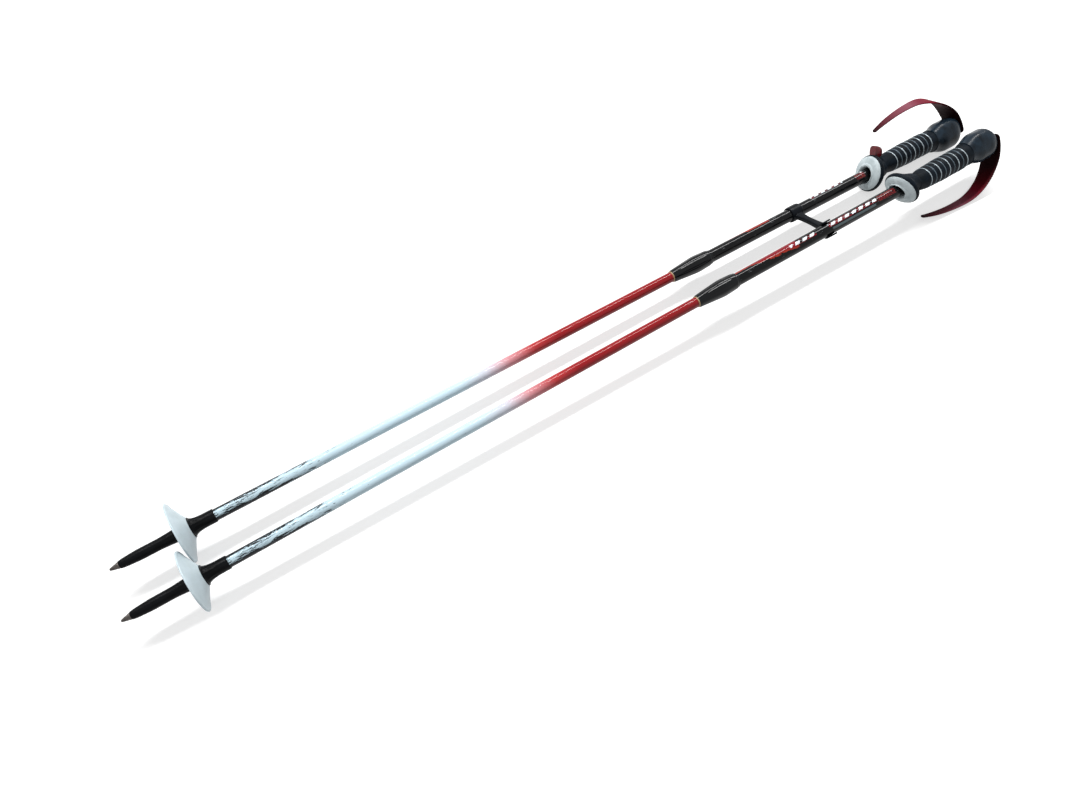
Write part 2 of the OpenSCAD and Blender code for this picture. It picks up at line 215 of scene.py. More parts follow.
def soften(profile):
    # every inner corner [station, radius, cut] becomes a curve that leaves its legs that far away:
    # (1 - t)^2 start + 2 t (1 - t) corner + t^2 end
    p = np.array(profile, float)
    corner, cut = p[1:-1, :2], p[1:-1, 2:3]
    before, after = p[:-2, :2] - corner, p[2:, :2] - corner
    reach = [np.linalg.norm(leg, axis=1, keepdims=True) + 1e-9 for leg in (before, after)]
    start = corner + before / reach[0] * np.minimum(cut, 0.48 * reach[0])
    end = corner + after / reach[1] * np.minimum(cut, 0.48 * reach[1])
    t = np.linspace(0, 1, 7)[None, :, None]
    bend = (1 - t) ** 2 * start[:, None] + 2 * t * (1 - t) * corner[:, None] + t ** 2 * end[:, None]
    return np.concatenate([p[:1, :2], bend.reshape(-1, 2), p[-1:, :2]])


def refined(path, step):
    # the same path with points no further apart than step
    run = np.concatenate([[0], np.cumsum(np.linalg.norm(np.diff(path, axis=0), axis=1))])
    even = np.linspace(0, run[-1], int(run[-1] / step) + 2)
    at = np.union1d(run, even)
    return np.stack([np.interp(at, run, path[:, 0]), np.interp(at, run, path[:, 1])], -1)


def roundAngles(count):
    return np.linspace(0, 2 * np.pi, count, endpoint=False)


def turned(path, count=96, shape=None):
    # a path of stations and radii carried round the axis; shape scales the radius by station and angle
    angle = roundAngles(count)
    station, radius = path[:, :1] + 0 * angle, path[:, 1:2] + 0 * angle
    if shape is not None:
        radius = radius * shape(station, angle)
    return np.stack([station, radius * np.cos(angle), radius * np.sin(angle)], -1)


def squared(value, power):
    # sign(value) |value|^power: a power below 1 squares a circle off
    return np.sign(value) * np.abs(value) ** power


def smooth(share):
    # 3 share^2 - 2 share^3 between 0 and 1
    share = np.clip(share, 0, 1)
    return share * share * (3 - 2 * share)


def capped(grid):
    # the grid with both ends closed by a row at the end's own middle
    first, last = (row.mean(1, keepdims=True) + 0 * row for row in (grid[:1], grid[-1:]))
    return np.concatenate([first, grid, last])


def superRound(angle, a, b, power):
    # radius at an angle of the outline |x / a|^power + |y / b|^power = 1
    return ((np.abs(np.cos(angle)) / a) ** power + (np.abs(np.sin(angle)) / b) ** power) ** (-1 / power)


def gridFaces(rows, columns, first):
    # quads between neighbouring rows of a grid that closes round, numbered from first
    number = first + np.arange(rows * columns).reshape(rows, columns)
    near, far = number[:-1], number[1:]
    return np.stack([near, np.roll(near, -1, 1), np.roll(far, -1, 1), far], -1).reshape(-1, 4)


def cleanMesh(mesh, degenerate):
    # doubles merged, collapsed edges dissolved if asked, faces turned outwards
    work = bmesh.new()
    work.from_mesh(mesh)
    bmesh.ops.remove_doubles(work, verts=work.verts, dist=0.002 * mm)
    if degenerate:
        bmesh.ops.dissolve_degenerate(work, edges=work.edges, dist=0.001 * mm)
    bmesh.ops.recalc_face_normals(work, faces=work.faces)
    work.to_mesh(mesh)
    work.free()


def meshOf(name, grids, side, roll, sharpAngle=38):
    # grids of rows by columns in pole space; columns close round, equal rows and poles are merged
    origin, axes = poleSpace(side, roll)
    points, faces, first = [], [], 0
    for grid in grids:
        rows, columns = grid.shape[:2]
        faces.append(gridFaces(rows, columns, first))
        points.append(grid.reshape(-1, 3))
        first += rows * columns
    placed = origin + np.concatenate(points) * mm @ axes
    mesh = bpy.data.meshes.new(name)
    mesh.from_pydata(placed.tolist(), [], np.concatenate(faces).tolist())
    cleanMesh(mesh, True)
    mesh.shade_smooth()
    mesh.set_sharp_from_angle(angle=np.radians(sharpAngle))
    markSpace(mesh, side, roll)
    return mesh


def markSpace(mesh, side, roll):
    # the poleSpace attribute: each point's place in pole space, in millimetres
    origin, axes = poleSpace(side, roll)
    co = np.zeros(len(mesh.vertices) * 3, np.float32)
    mesh.vertices.foreach_get("co", co)
    local = (co.reshape(-1, 3) - origin) @ axes.T / mm
    mark = mesh.attributes.new("poleSpace", "FLOAT_VECTOR", "POINT")
    mark.data.foreach_set("vector", local.astype(np.float32).ravel())


def addPiece(name, mesh, material, body, nodes):
    piece = addObject(name, mesh)
    mesh.materials.clear()
    mesh.materials.append(material)
    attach(piece, body)
    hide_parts(*nodes)


def addPart(side, name, node, body, grids, roll, material, sharpAngle=38):
    # a piece of one pole, in the place of that pole's node, riding on its lower or upper body
    mesh = meshOf(side + name, grids, side, roll, sharpAngle)
    addPiece(side + name, mesh, finish[material], side + body, [side + node])


finish = {}


def startMaterial(name, **sockets):
    # a material, its tree, its shader, and the place on the piece in millimetres
    material = bpy.data.materials.new(name)
    material.use_nodes = True
    tree = material.node_tree
    shader = tree.nodes["Principled BSDF"]
    for key, value in sockets.items():
        shader.inputs[key.replace("_", " ")].default_value = value
    place = addNode(tree, "ShaderNodeAttribute", attribute_name="poleSpace")
    return material, tree, shader, place.outputs["Vector"]


def scaled(tree, place, along, across, outward):
    # a place with each of its three measures multiplied
    return addNode(tree, "ShaderNodeVectorMath", {0: place, 1: (along, across, outward)},
                   operation="MULTIPLY").outputs[0]


def grainOf(tree, shader, place, size, height, stretch=1.0, roughness=(0.4, 0.5), blotch=18.0):
    # fine relief of that grain size and height in mm, longer along the pole by stretch, and uneven gloss
    squeezed = scaled(tree, place, 1 / stretch, 1, 1)
    fine = addNode(tree, "ShaderNodeTexNoise", {"Vector": squeezed, "Scale": 1 / size, "Detail": 3.0,
                                                "Roughness": 0.6})
    bump = addNode(tree, "ShaderNodeBump", {"Height": fine.outputs[0], "Distance": height * mm,
                                            "Strength": 1.0})
    wide = addNode(tree, "ShaderNodeTexNoise", {"Vector": squeezed, "Scale": 1 / blotch, "Detail": 4.0})
    gloss = addNode(tree, "ShaderNodeMapRange", {0: wide.outputs[0], 1: 0.3, 2: 0.7, 3: roughness[0],
                                                 4: roughness[1]})
    tree.links.new(bump.outputs[0], shader.inputs["Normal"])
    tree.links.new(gloss.outputs[0], shader.inputs["Roughness"])


def twoTone(tree, shader, place, codes, size=14.0, stretch=1.0):
    # base colour that wanders between two colours in blotches of that size
    squeezed = scaled(tree, place, 1 / stretch, 1, 1)
    cloud = addNode(tree, "ShaderNodeTexNoise", {"Vector": squeezed, "Scale": 1 / size, "Detail": 5.0,
                                                 "Roughness": 0.6})
    share = addNode(tree, "ShaderNodeMapRange", {0: cloud.outputs[0], 1: 0.35, 2: 0.65})
    mix = addNode(tree, "ShaderNodeMix", {0: share.outputs[0], 6: linear(codes[0]), 7: linear(codes[1])},
                  data_type="RGBA")
    tree.links.new(mix.outputs[2], shader.inputs["Base Color"])
    return mix.outputs[2]


def layerOn(tree, shader, under, share, code):
    # another colour over what is there, by share
    mix = addNode(tree, "ShaderNodeMix", {0: share, 6: under, 7: linear(code)}, data_type="RGBA")
    tree.links.new(mix.outputs[2], shader.inputs["Base Color"])
    return mix.outputs[2]


def calc(tree, operation, *values):
    return addNode(tree, "ShaderNodeMath", dict(enumerate(values)), operation=operation).outputs[0]


def product(tree, *factors):
    value = factors[0]
    for factor in factors[1:]:
        value = calc(tree, "MULTIPLY", value, factor)
    return value


def stepUp(tree, value, low, high, start=0.0, end=1.0):
    # start below low, end above high, a smooth change between
    return addNode(tree, "ShaderNodeMapRange", {0: value, 1: low, 2: high, 3: start, 4: end},
                   interpolation_type="SMOOTHSTEP").outputs[0]


def splitPlace(tree, place):
    # station, and the angle in degrees round the tube from its painted face towards the left pole's side
    station, across, outward = addNode(tree, "ShaderNodeSeparateXYZ", {0: place}).outputs
    turn = calc(tree, "ARCTAN2", calc(tree, "MULTIPLY", across, -1.0), outward)
    return station, calc(tree, "MULTIPLY", turn, 180 / np.pi)


def makePlainFinishes():
    # name: colours, grain size and height in mm, stretch, roughness range, other sockets
    plain = {
        # sintered carbide and ground steel: grey metal with fine turning marks
        "groundSteel": (("#3c3937", "#6b6663"), 0.25, 0.03, 0.2, (0.3, 0.45), {"Metallic": 1.0}),
        # moulded nylon: black, satin, with a faint grain and rubbed blotches
        "mouldedNylon": (("#020304", "#080a0d"), 0.5, 0.05, 1.0, (0.26, 0.44), {"Specular_IOR_Level": 0.06}),
        # polished ABS of the lock sleeve: deep gloss with hairlines along it
        "polishedAbs": (("#020304", "#04080c"), 0.35, 0.004, 24.0, (0.04, 0.10), {"Specular_IOR_Level": 0.2}),
        # moulded acetal bush: tan, dull
        "mouldedAcetal": (("#a48a66", "#8a7350"), 0.4, 0.03, 1.0, (0.45, 0.6), {}),
        # moulded ABS of the grip's head: satin blue grey, soft broad shine
        "satinAbs": (("#0b131a", "#1a2732"), 0.45, 0.02, 1.0, (0.22, 0.32), {"Specular_IOR_Level": 0.13}),
        # moulded TPE hold: navy black rubber, matt, with a leathery grain 0.8 mm wide
        "mouldedRubber": (("#04080c", "#0e161e"), 0.8, 0.14, 1.0, (0.45, 0.62), {"Specular_IOR_Level": 0.06}),
        # moulded polypropylene disc: pale cool grey, dull with greasy patches
        "mouldedPolypropylene": (("#98a3a6", "#b6c0c3"), 0.6, 0.03, 1.0, (0.38, 0.55),
                                 {"Specular_IOR_Level": 0.3}),
        # moulded polycarbonate tab: clear red, lit from within
        "clearRedPlastic": (("#3d050b", "#6a0b15"), 0.6, 0.01, 1.0, (0.12, 0.22),
                            {"Transmission_Weight": 0.1, "Specular_IOR_Level": 0.25}),
        # moulded nylon of the clip: dark navy, satin
        "clipNylon": (("#030508", "#0a0e14"), 0.5, 0.04, 1.0, (0.26, 0.40), {"Specular_IOR_Level": 0.08}),
        # zinc plated screw: pale grey metal, slightly brushed
        "platedSteel": (("#a9aab4", "#c2c3cc"), 0.3, 0.02, 3.0, (0.3, 0.42), {"Metallic": 1.0}),
    }
    for name, (codes, size, height, stretch, roughness, sockets) in plain.items():
        material, tree, shader, place = startMaterial(name, **sockets)
        twoTone(tree, shader, place, codes, stretch=max(1.0, stretch / 4))
        grainOf(tree, shader, place, size, height, stretch, roughness)
        finish[name] = material


def makeHiddenFinishes():
    # the lock's inner parts keep their CAD shapes: moulded plug and expander, turned stud, blackened nut
    inner = {"tube_plug": ("plugPlastic", ("#d8d8d0", "#c3c2b8"), 0.0, 0.5),
             "expander": ("expanderNylon", ("#e6e3d6", "#d2cdbb"), 0.0, 0.42),
             "lock_stud": ("turnedStud", ("#9a9fa3", "#7f8488"), 1.0, 0.3),
             "stud_nut": ("blackenedNut", ("#2a2c2e", "#3a3c3e"), 1.0, 0.45)}
    for node, (name, codes, metal, roughness) in inner.items():
        material, tree, shader, _ = startMaterial(name, Metallic=metal)
        own = scaled(tree, addNode(tree, "ShaderNodeTexCoord").outputs["Object"], 1000, 1000, 1000)
        twoTone(tree, shader, own, codes, size=6.0)
        grainOf(tree, shader, own, 0.5, 0.03, 1.0, (roughness, roughness + 0.12))
        for side in sides:
            cad = frame["nodes"][side + "_" + node]
            cad.data.materials.clear()
            cad.data.materials.append(material)


makePlainFinishes()
makeHiddenFinishes()

basketFinish = {"milky": "#bccad1", "lower": "#aab8bd", "dirt": "#8d938f"}


def makeBasketFinish():
    # moulded low density polyethylene: milky, lets light a little way in, waxy shine, fine dirt in scratches
    material, tree, shader, place = startMaterial(
        "mouldedPolyethylene", Subsurface_Weight=0.25, Subsurface_Scale=0.004,
        Subsurface_Radius=(1.0, 1.0, 1.0), Specular_IOR_Level=0.45)
    under = twoTone(tree, shader, place, (basketFinish["milky"], basketFinish["lower"]), size=30.0)
    fine = addNode(tree, "ShaderNodeTexNoise", {"Vector": place, "Scale": 0.9, "Detail": 6.0,
                                                "Roughness": 0.75})
    dirt = stepUp(tree, fine.outputs[0], 0.60, 0.74, 0.0, 0.45)
    layerOn(tree, shader, under, dirt, basketFinish["dirt"])
    grainOf(tree, shader, place, 1.2, 0.05, 1.0, (0.32, 0.5))
    finish["basket"] = material


lowerPaint = {
    "fade": [(0.0, "#b7ced8"), (0.50, "#b4cad4"), (0.56, "#bcbcc6"), (0.61, "#bd8086"),
             (0.665, "#a02c2e"), (0.72, "#860b12"), (1.0, "#7c070e")],
    "from": 121.0, "to": 773.0,
    # the scuff and primer colours also paint shade on the tube's flanks near the tip
    "scuffAndShade": "#10151a", "primerAndShade": "#5d6f78",
    "scuffLong": 17.0, "scuffWide": 2.6, "scuffTo": 330.0,
    "chipLong": 9.0, "chipWide": 1.6, "chipFrom": 200.0, "chipTo": 470.0,
}


def makeLowerPaint():
    # lacquered aluminium tube: pale blue sprayed over into gloss red, scuffed through to black near the tip, with
    # painted shade there as extra black on both flanks
    p = lowerPaint
    material, tree, shader, place = startMaterial("lacqueredLowerTube", Specular_IOR_Level=0.22)
    station, turn = splitPlace(tree, place)
    along = addNode(tree, "ShaderNodeMapRange", {0: station, 1: p["from"], 2: p["to"]})
    haze = addNode(tree, "ShaderNodeTexNoise", {"Vector": place, "Scale": 0.5, "Detail": 2.0})
    spray = calc(tree, "MULTIPLY_ADD", haze.outputs[0], 0.02, along.outputs[0])
    fade = addNode(tree, "ShaderNodeValToRGB", {0: spray}, stops=p["fade"])
    # scuffs run along the tube, 15 to 40 mm long and 2 to 3 mm wide, with ragged ends
    streak = scaled(tree, place, 1 / p["scuffLong"], 1 / p["scuffWide"], 1 / p["scuffWide"])
    ragged = addNode(tree, "ShaderNodeTexNoise", {"Vector": streak, "Scale": 1.0, "Detail": 8.0,
                                                  "Roughness": 0.72, "Distortion": 0.6}).outputs[0]
    rise = addNode(tree, "ShaderNodeMapRange", {0: station, 1: p["from"], 2: p["scuffTo"], 3: 0.105,
                                                4: -0.15}).outputs[0]
    # painted shade: more black on both flanks, rising from 18 to 58 degrees from the middle of the painted face,
    # darkens the tube's sides near the tip on top of the real scuffs
    flank = calc(tree, "ABSOLUTE", calc(tree, "SUBTRACT", turn, 4.0))
    edge = stepUp(tree, flank, 18.0, 58.0, -0.05, 0.14)
    flankShadeFade = stepUp(tree, station, 150.0, p["scuffTo"], 1.0, 0.0)
    # worn sums the real scuffs and the painted shade on the flanks
    worn = calc(tree, "ADD", calc(tree, "ADD", ragged, rise), calc(tree, "MULTIPLY", edge, flankShadeFade))
    # black where scuffed and where shade is painted on the flanks, with a primer halo round both
    scuffAndShade = stepUp(tree, worn, 0.535, 0.56)
    haloAndShade = stepUp(tree, worn, 0.50, 0.54, 0.0, 0.35)
    # chips further up: dashes a few millimetres long
    short = scaled(tree, place, 1 / p["chipLong"], 1 / p["chipWide"], 1 / p["chipWide"])
    chipNoise = addNode(tree, "ShaderNodeTexNoise", {"Vector": short, "Scale": 1.0, "Detail": 4.0}).outputs[0]
    chipRise = addNode(tree, "ShaderNodeMapRange", {0: station, 1: p["chipFrom"], 2: p["chipTo"], 3: 0.0,
                                                    4: -0.09}).outputs[0]
    chip = stepUp(tree, calc(tree, "ADD", chipNoise, chipRise), 0.672, 0.70)
    colour = layerOn(tree, shader, fade.outputs[0], haloAndShade, p["primerAndShade"])
    layerOn(tree, shader, colour, calc(tree, "MAXIMUM", scuffAndShade, chip), p["scuffAndShade"])
    rough = calc(tree, "MULTIPLY_ADD", scuffAndShade, 0.35, 0.09)
    tree.links.new(rough, shader.inputs["Roughness"])
    relief = addNode(tree, "ShaderNodeBump", {"Height": worn, "Distance": 0.05 * mm, "Strength": 0.6})
    tree.links.new(relief.outputs[0], shader.inputs["Normal"])
    finish["lowerTube"] = material


tubeShape = {"lowerR": 7.0, "lowerBore": 6.0, "upperR": 9.0, "upperBore": 8.0}
# stations in mm and angles in degrees of the painted pattern on each upper tube
upperPaint = {
    "right": {"flame": (838, 932), "flameFrom": 56, "flameTo": -18, "dashes": ((930, 978), (1000, 1092)),
              "dashBand": (10, 40), "stripe": (1004, 1088), "stripeBand": (-30, -6), "speckle": (1092, 1128)},
    "left": {"flame": (868, 936), "flameFrom": 74, "flameTo": 30, "dashes": ((1027, 1092), (1125, 1131)),
             "dashBand": (44, 66), "stripe": (1030, 1088), "stripeBand": (34, 42), "speckle": (1112, 1132)},
    "black": "#030406", "red": "#720c18", "orange": "#8c2812", "white": "#cdd6da", "grey": "#59666a",
    "gold": "#b98a5a", "metal": "#8a8f94", "pitch": 13.0, "slant": 0.9,
}


def within(tree, value, low, high, soft):
    # 1 between low and high, with soft edges inside them
    return calc(tree, "MULTIPLY", stepUp(tree, value, low, low + soft),
                stepUp(tree, value, high - soft, high, 1.0, 0.0))


def makeUpperPaint(side):
    # lacquered aluminium tube: gloss black with flames, plain slanted dashes and a speckled collar end
    p, marks = upperPaint, upperPaint[side]
    material, tree, shader, place = startMaterial(side + "LacqueredUpperTube", Specular_IOR_Level=0.16)
    station, turn = splitPlace(tree, place)
    lick = addNode(tree, "ShaderNodeTexNoise", {"Vector": scaled(tree, place, 1 / 24, 1 / 5, 1 / 5),
                                                "Scale": 1.0, "Detail": 3.0}).outputs[0]
    # flames: everything above an edge that sinks along the tube and flickers with the noise
    first, last = marks["flame"]
    edge = addNode(tree, "ShaderNodeMapRange", {0: station, 1: first, 2: last, 3: marks["flameFrom"],
                                                4: marks["flameTo"]}).outputs[0]
    over = calc(tree, "SUBTRACT", turn, calc(tree, "MULTIPLY_ADD", lick, -70.0,
                                             calc(tree, "ADD", edge, 38.0)))
    flame = product(tree, stepUp(tree, over, 0.0, 3.0), within(tree, station, first, last + 14, 4.0),
                    stepUp(tree, turn, 84.0, 92.0, 1.0, 0.0))
    colour = layerOn(tree, shader, linear(p["black"]), flame, p["red"])
    rim = product(tree, flame, stepUp(tree, over, 14.0, 20.0, 0.8, 0.0))
    colour = layerOn(tree, shader, colour, rim, p["orange"])
    # dashes: slanted bars of one pitch inside a band of angles, on a thin red ground
    arc = product(tree, turn, p["slant"] * np.pi / 180 * tubeShape["upperR"])
    phase = calc(tree, "FRACT", calc(tree, "DIVIDE", calc(tree, "SUBTRACT", station, arc), p["pitch"]))
    low, high = marks["dashBand"]
    inRun = calc(tree, "MAXIMUM", *[within(tree, station, *run, 1.5) for run in marks["dashes"]])
    ground = product(tree, within(tree, turn, low - 8, high + 8, 4.0), inRun,
                     stepUp(tree, lick, 0.42, 0.62, 0.0, 0.8))
    colour = layerOn(tree, shader, colour, ground, p["red"])
    dash = product(tree, within(tree, phase, 0.08, 0.72, 0.05), within(tree, turn, low, high, 2.0), inRun)
    colour = layerOn(tree, shader, colour, dash, p["white"])
    stripe = product(tree, within(tree, station, *marks["stripe"], 3.0),
                     within(tree, turn, *marks["stripeBand"], 3.0), 0.8)
    colour = layerOn(tree, shader, colour, stripe, p["grey"])
    # collar end: red with dark and gold specks about 1 mm wide
    speck = addNode(tree, "ShaderNodeTexNoise", {"Vector": place, "Scale": 0.9, "Detail": 2.0}).outputs[0]
    collar = product(tree, within(tree, station, *marks["speckle"], 3.0),
                     within(tree, turn, -12.0, 52.0, 6.0))
    for start, end, code in ((0.46, 0.54, p["red"]), (0.66, 0.70, p["gold"])):
        colour = layerOn(tree, shader, colour, product(tree, collar, stepUp(tree, speck, start, end)), code)
    # hairline scratches and pin chips that show the metal
    hair = scaled(tree, place, 1 / 14, 1 / 0.7, 1 / 0.7)
    scratch = addNode(tree, "ShaderNodeTexNoise", {"Vector": hair, "Scale": 1.0, "Detail": 3.0}).outputs[0]
    worn = stepUp(tree, scratch, 0.68, 0.72, 0.0, 0.55)
    layerOn(tree, shader, colour, worn, p["metal"])
    tree.links.new(calc(tree, "MULTIPLY_ADD", worn, 0.4, 0.07), shader.inputs["Roughness"])
    relief = addNode(tree, "ShaderNodeBump", {"Height": scratch, "Distance": 0.02 * mm, "Strength": 0.5})
    tree.links.new(relief.outputs[0], shader.inputs["Normal"])
    finish[side + "UpperTube"] = material


guardFinish = [(0.0, "#0b0203"), (0.10, "#1c0306"), (0.20, "#44060f"), (0.28, "#660b1e"), (0.38, "#6a2634"),
               (0.50, "#774450"), (0.66, "#64303a"), (0.82, "#430f1a"), (0.93, "#180407")]


def makeGuardFinish():
    # moulded polycarbonate strap, tinted: its colour runs from nearly black at the head through red and smoky pink
    # to dark red at the free end
    material, tree, shader, place = startMaterial("tintedPolycarbonate", Transmission_Weight=0.05,
                                                  Specular_IOR_Level=0.03)
    station = addNode(tree, "ShaderNodeSeparateXYZ", {0: place}).outputs[0]
    freeEnd, root = spanOf("right", "hand_guard")
    share = addNode(tree, "ShaderNodeMapRange", {0: station, 1: root, 2: freeEnd}).outputs[0]
    cloud = addNode(tree, "ShaderNodeTexNoise", {"Vector": place, "Scale": 0.08, "Detail": 3.0}).outputs[0]
    share = calc(tree, "ADD", share, calc(tree, "MULTIPLY_ADD", cloud, 0.06, -0.03))
    ramp = addNode(tree, "ShaderNodeValToRGB", {0: share}, stops=guardFinish)
    tree.links.new(ramp.outputs[0], shader.inputs["Base Color"])
    grainOf(tree, shader, place, 0.8, 0.02, 1.0, (0.48, 0.62))
    finish["guard"] = material


ringFinish = {"silver": "#97a2a8", "dull": "#4d5962", "worn": "#18232e"}


def makeRingFinish():
    # silver foil inlay: bright and dull rings by turns, rubbed away where the palm lies
    material, tree, shader, place = startMaterial("foilInlay", Metallic=0.25, Specular_IOR_Level=0.2)
    station, _, outward = addNode(tree, "ShaderNodeSeparateXYZ", {0: place}).outputs
    last = hold["ringEnd"] + hold["ringPitch"] / 2
    count = calc(tree, "DIVIDE", calc(tree, "SUBTRACT", last, station), hold["ringPitch"])
    odd = calc(tree, "MODULO", calc(tree, "FLOOR", count), 2.0)
    colour = layerOn(tree, shader, linear(ringFinish["silver"]), odd, ringFinish["dull"])
    patch = addNode(tree, "ShaderNodeTexNoise", {"Vector": place, "Scale": 0.35, "Detail": 3.0}).outputs[0]
    rubbed = stepUp(tree, calc(tree, "MULTIPLY_ADD", patch, 12.0, outward), -12.0, -4.0, 0.92, 0.0)
    layerOn(tree, shader, colour, rubbed, ringFinish["worn"])
    grainOf(tree, shader, place, 0.4, 0.02, 1.0, (0.3, 0.45))
    finish["rings"] = material


tipShape = {"point": 0.5, "base": 4.0, "length": 11.0, "shank": 2.5, "shankEnd": 29.0}
holderShape = {"mouth": 4.6, "seat": 6.6, "seatFrom": 33.0, "seatTo": 58.0, "barrel": 8.1, "shoulder": 92.5,
               "shoulderR": 12.5, "flare": 12.0, "end": 121.0, "boreFrom": 81.0, "bore": 7.0, "flutes": 14,
               "fluteDepth": 0.026}
basketShape = {"hub": 12.9, "band": 24.5, "rim": 37.5, "rimAt": 79.0, "bandRise": 5.5, "wall": 1.4,
               "shoulder": 92.5, "holder": 8.1, "webs": 8, "webInner": 10.4,
               "webHalf": 0.5}


def makeTipEnd(side):
    t = tipShape
    path = soften([[0, 0, 0], [0.1, t["point"], 0.3], [0.8, 1.5, 0.4], [6.6, 3.05, 2.0], [8.3, 3.35, 0.4],
                   [8.7, 3.8, 0.3], [t["length"] - 0.3, t["base"], 0.3], [t["length"], t["base"] - 0.2, 0.1],
                   [t["length"], t["shank"], 0.1], [t["shankEnd"], t["shank"], 0.2], [t["shankEnd"], 0, 0]])
    addPart(side, "SteelTip", "_steel_tip", "_lower", [turned(path, 72)], rolls["tube"], "groundSteel")

    h = holderShape
    lean = np.linspace(0, np.pi / 2, 9)
    flare = [[h["shoulder"] + 1 + h["flare"] * (1 - np.cos(a)),
              h["shoulderR"] - (h["shoulderR"] - h["barrel"]) * np.sin(a), 0.3] for a in lean]
    path = soften([[t["shankEnd"] + 0.5, 0, 0], [t["shankEnd"] + 0.5, t["shank"], 0.1],
                   [t["length"], t["shank"], 0.1], [t["length"], h["mouth"] - 0.3, 0.2],
                   [t["length"] + 0.5, h["mouth"], 0.4],
                   [16.0, 5.45, 5.0], [h["seatFrom"], h["seat"], 4.0], [h["seatTo"], h["seat"], 4.0],
                   [77.0, h["barrel"], 4.0], [h["shoulder"], h["barrel"], 0.3],
                   [h["shoulder"], h["shoulderR"], 0.3]] + flare +
                  [[h["end"] - 0.6, h["barrel"], 0.5], [h["end"], h["barrel"] - 0.6, 0.2],
                   [h["end"], h["bore"], 0.1], [h["boreFrom"], h["bore"], 0.1], [h["boreFrom"], 0, 0]])

    def flutes(station, angle):
        # shallow flutes on the flare: 1 + depth sin(pi share) cos(count angle), so they fade at its ends
        s = np.clip((station - h["shoulder"] - 0.8) / (h["flare"] + 3), 0, 1)
        return 1 + h["fluteDepth"] * np.sin(np.pi * s) * np.cos(h["flutes"] * angle)

    addPart(side, "TipHolder", "_tip_holder", "_lower", [turned(refined(path, 1.5), 112, flutes)],
            rolls["tube"], "mouldedNylon")

    b = basketShape
    out, rim = b["rimAt"] + b["wall"], b["rim"]
    path = soften([[b["shoulder"], b["holder"], 0.1], [b["shoulder"], b["hub"], 0.3],
                   [b["shoulder"] - 1.2, b["hub"] + 1.6, 1.0],
                   [b["rimAt"] + b["bandRise"] + b["wall"] + 0.3, b["band"], 6.0],
                   [out + 1.4, rim - 3.4, 0.6], [out + 1.1, rim - 3.0, 0.3], [out + 1.3, rim - 2.4, 0.4],
                   [out + 0.5, rim - 0.5, 0.8], [out - 0.9, rim, 0.6], [b["rimAt"], rim - 0.5, 0.3],
                   [b["rimAt"], rim - 1.3, 0.3], [b["rimAt"] + 0.9, rim - 2.2, 0.6],
                   [b["rimAt"] + b["bandRise"], b["band"], 6.0],
                   [b["shoulder"] - b["wall"] - 2, 10.7, 1.0], [b["rimAt"] + 3.4, 10.7, 0.3],
                   [b["rimAt"] + 3, 10.3, 0.3], [b["rimAt"] + 3, b["holder"], 0.1],
                   [b["shoulder"], b["holder"], 0]])
    grids = [turned(refined(path, 2.5), 144)]
    # webs under the cone: thin blades from the hub to the band, sunk 0.3 mm into both
    inner, outer = b["webInner"], b["band"] - 2
    topIn, topOut = b["shoulder"] - b["wall"] - 1.9, b["rimAt"] + b["bandRise"] + 1.2
    blade = np.array([[b["rimAt"] + 4.2, inner], [b["rimAt"] + 5.4, outer], [topOut, outer], [topIn, inner]])
    faces = np.array([[-b["webHalf"]], [b["webHalf"]]])
    for turn in roundAngles(b["webs"]):
        web = np.stack([blade[:, 0] + 0 * faces, blade[:, 1] * np.cos(turn) - faces * np.sin(turn),
                        blade[:, 1] * np.sin(turn) + faces * np.cos(turn)], -1)
        grids.append(capped(web))
    addPart(side, "Basket", "_basket", "_lower", grids, rolls["tube"], "basket", 30)


sleeveShape = {"mouth": 8.7, "belly": 12.2, "top": 10.2, "facets": 8, "facetDepth": 0.030, "tubeR": 9.0,
               "bushR": 7.8, "bushBore": 7.05}


def addTube(side, name, node, body, radius, bore, material):
    first, last = spanOf(side, node[1:])
    path = soften([[first, bore, 0], [first, radius - 0.05, 0.15], [first + 0.2, radius, 0.15],
                   [last - 0.2, radius, 0.15], [last, radius - 0.05, 0.15], [last, bore, 0.1],
                   [first, bore, 0]])
    addPart(side, name, node, body, [turned(refined(path, 12), 96)], rolls["tube"], material)


